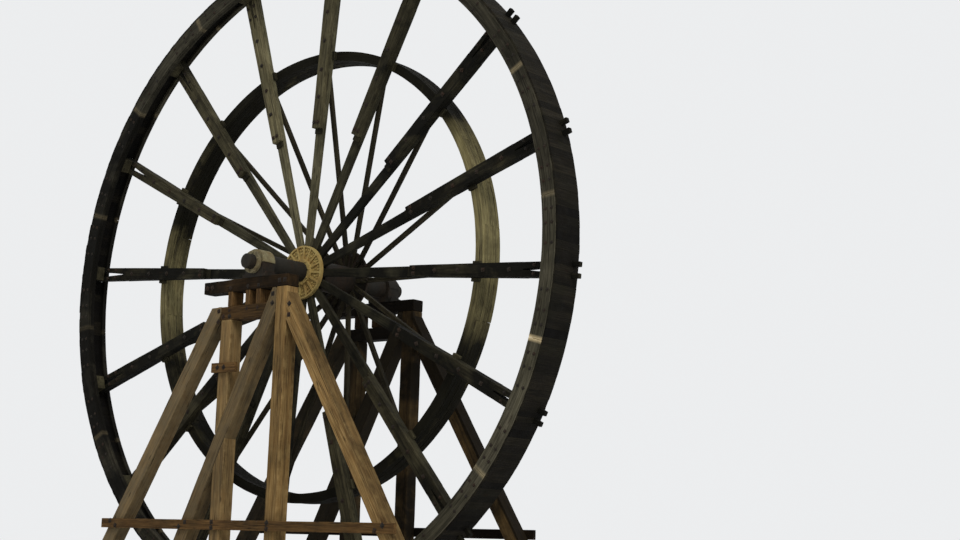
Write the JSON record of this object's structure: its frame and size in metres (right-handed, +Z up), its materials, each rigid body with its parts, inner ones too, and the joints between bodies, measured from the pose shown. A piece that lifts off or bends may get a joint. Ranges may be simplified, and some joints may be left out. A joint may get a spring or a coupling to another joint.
{
  "type": "water wheel",
  "caption": "Tall open timber water wheel with tapered arms, boxed rim and inner drive ring, turning on an axle between two raking timber towers.",
  "frame": {"origin": "on the ground, under the middle of the axle", "axes": "+Z up, +Y along the axle to the rear, +X to the right of someone who faces the front of the wheel"},
  "size_m": [18.0556, 5.74, 18.6278],
  "materials": {
    "arm_timber": "weathered sawn timber, grey-brown with dark stains",
    "cheek_timber": "weathered plank, tan",
    "felloe_timber": "weathered grey timber with pale wood at the joints",
    "sole_boards": "dark wet-stained boards",
    "ring_timber": "weathered staves, tan to dark brown",
    "brace_timber": "weathered squared timber",
    "tower_timber": "weathered squared timber, orange-brown tan",
    "tie_timber": "weathered timber, rusty orange-brown",
    "sill_timber": "weathered squared timber, earth-stained",
    "hub_plate": "pale ochre weathered casting",
    "hub_iron": "rusty casting",
    "collar_metal": "pale dusty casting",
    "axle_iron": "dark rusty forged shaft",
    "bearing_iron": "rusty casting"
  },
  "bodies": {
    "stand": {"front_posts": "tower_timber", "front_legs": "tower_timber", "front_beams": "tie_timber", "front_studs": "tie_timber", "front_girts": "tie_timber", "front_sills": "sill_timber", "front_bearing_block": "bearing_iron", "front_bearing_cap": "bearing_iron", "rear_posts": "tower_timber", "rear_legs": "tower_timber", "rear_beams": "tie_timber", "rear_studs": "tie_timber", "rear_girts": "tie_timber", "rear_sills": "sill_timber", "rear_bearing_block": "bearing_iron", "rear_bearing_cap": "bearing_iron"},
    "wheel": {"arm_01": "arm_timber", "arm_02": "arm_timber", "arm_03": "arm_timber", "arm_04": "arm_timber", "arm_05": "arm_timber", "arm_06": "arm_timber", "arm_07": "arm_timber", "arm_08": "arm_timber", "arm_09": "arm_timber", "arm_10": "arm_timber", "arm_11": "arm_timber", "arm_12": "arm_timber", "arm_13": "arm_timber", "arm_14": "arm_timber", "arm_15": "arm_timber", "arm_16": "arm_timber", "arm_cheeks": "cheek_timber", "rim_sole": "sole_boards", "rim_blocks": "cheek_timber", "drive_ring": "ring_timber", "rear_braces": "brace_timber", "hub_barrel": "hub_iron", "axle": "axle_iron", "front_felloes": "felloe_timber", "rear_felloes": "felloe_timber", "front_flange": "hub_plate", "rear_flange": "hub_iron", "front_collar": "collar_metal", "rear_collar": "collar_metal"}
  },
  "joints": [
    {"name": "wheel_spin", "type": "hinge", "parent": "stand", "child": "wheel", "pos_m": [0, 0, 9.6], "axis": [0, 1, 0], "continuous": true}
  ]
}
